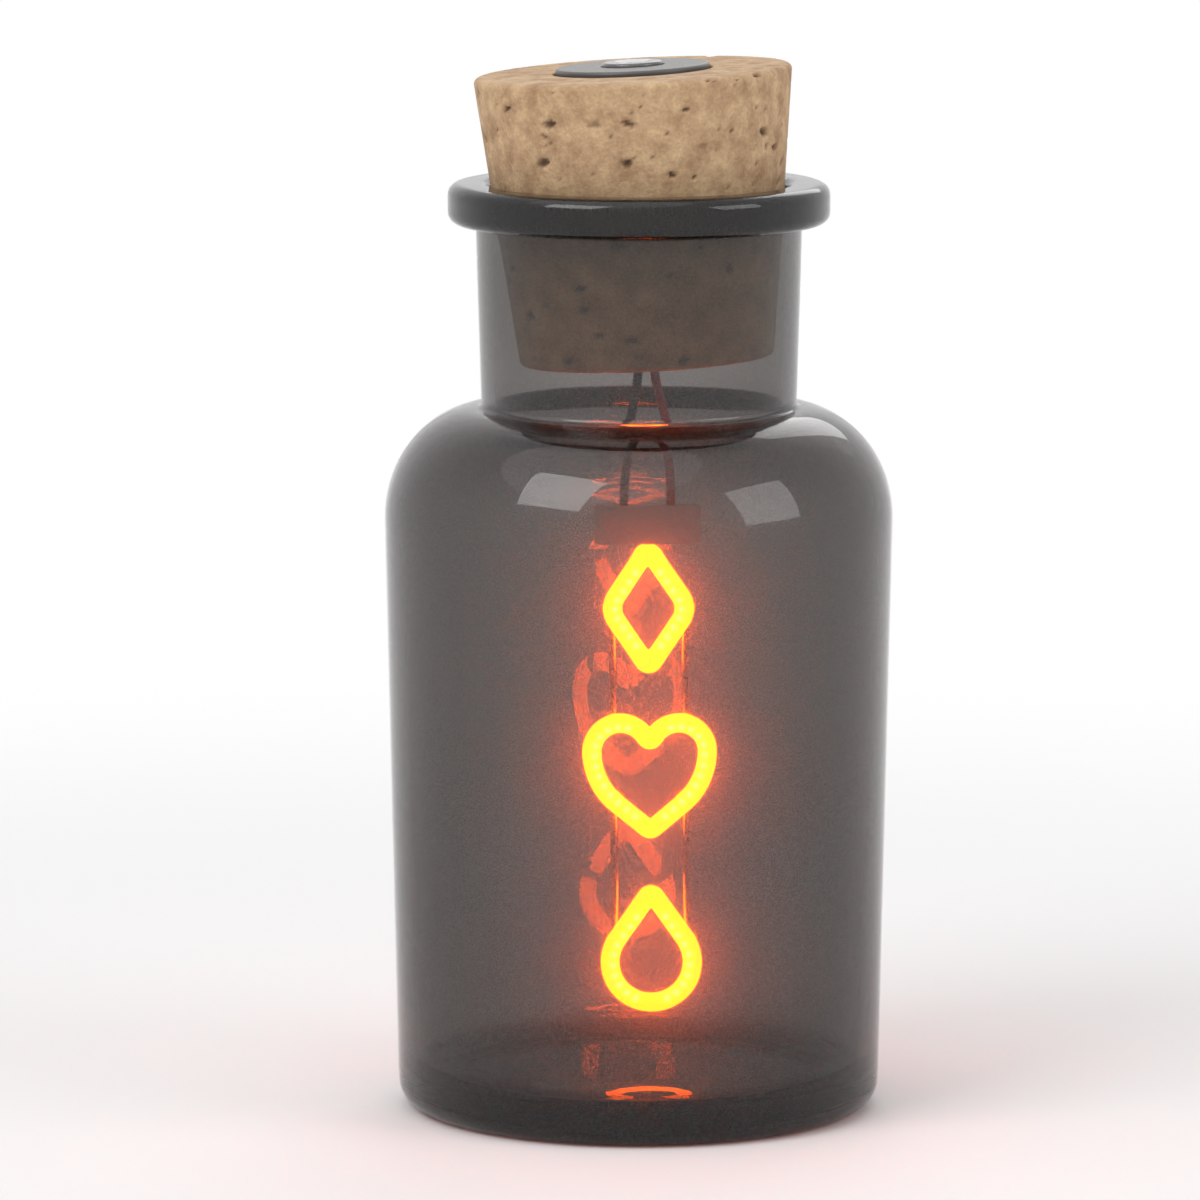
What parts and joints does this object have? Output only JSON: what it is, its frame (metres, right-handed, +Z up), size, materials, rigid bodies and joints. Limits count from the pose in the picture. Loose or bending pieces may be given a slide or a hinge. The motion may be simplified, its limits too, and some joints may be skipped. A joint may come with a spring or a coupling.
{
  "type": "cork bottle light",
  "caption": "Wide-mouth glass bottle with a cork that holds a battery light; glowing figures hang inside from the cork.",
  "frame": {"origin": "on the bottle's axis, in the plane that it stands on", "axes": "+Z up the bottle, +X to the right and -Y towards a viewer who faces the figures"},
  "size_m": [0.068, 0.068, 0.1414],
  "materials": {
    "glass": "clear, polished",
    "cork": "natural cork with pits",
    "case_plastic": "moulded",
    "cap_plastic": "moulded, fine texture",
    "button_plastic": "satin",
    "cell_steel": "brushed",
    "spring_steel": "plated",
    "contact_brass": "satin",
    "board": "solder mask",
    "chip": "moulded",
    "resistor": "lacquered",
    "plunger": "moulded",
    "rubber": "matte",
    "red_lead": "insulation",
    "black_lead": "insulation",
    "inner_lead": "insulation",
    "holder_plastic": "milky",
    "link_metal": "tinned",
    "filament_jacket": "soft, glowing",
    "filament_strip": "flexible circuit",
    "led": "potted"
  },
  "bodies": {
    "bottle": {"glass_bottle": "glass"},
    "cork": {"cork": "cork", "battery_case": "case_plastic", "side_contact": "contact_brass", "button_cells": "cell_steel", "contact_spring": "spring_steel", "contact_rivet": "contact_brass", "circuit_board": "board", "driver_chip": "chip", "current_resistor": "resistor", "wire_gland": "rubber", "inner_leads": "inner_lead"},
    "cap": {"battery_cap": "cap_plastic", "cap_seal": "rubber", "switch_board": "board", "positive_contact": "contact_brass", "push_switch": "chip"},
    "button": {"power_button": "button_plastic", "switch_plunger": "plunger"},
    "column": {"lead_wire_red": "red_lead", "lead_wire_black": "black_lead", "filament_holder": "holder_plastic", "upper_link_left": "link_metal", "upper_link_right": "link_metal", "lower_link_left": "link_metal", "lower_link_right": "link_metal", "lozenge_tube": "filament_jacket", "lozenge_strip": "filament_strip", "lozenge_chips": "led", "heart_tube": "filament_jacket", "heart_strip": "filament_strip", "heart_chips": "led", "drop_tube": "filament_jacket", "drop_strip": "filament_strip", "drop_chips": "led"}
  },
  "joints": [
    {"name": "cork_lift", "type": "slide", "parent": "bottle", "child": "cork", "axis": [0, 0, 1], "range_m": [0, 0.12]},
    {"name": "cap_pull", "type": "slide", "parent": "cork", "child": "cap", "axis": [-0.0506, 0, 0.9987], "range_m": [0, 0.012]},
    {"name": "button_press", "type": "slide", "parent": "cap", "child": "button", "axis": [0.0506, 0, -0.9987], "range_m": [0, 0.0008], "stiffness_N_per_m": 300, "springref_m": -0.0005},
    {"name": "column_swing", "type": "hinge", "parent": "cork", "child": "column", "pos_m": [0.00099, 0, 0.10353], "axis": [0, 1, 0], "range_deg": [-6, 6]}
  ]
}
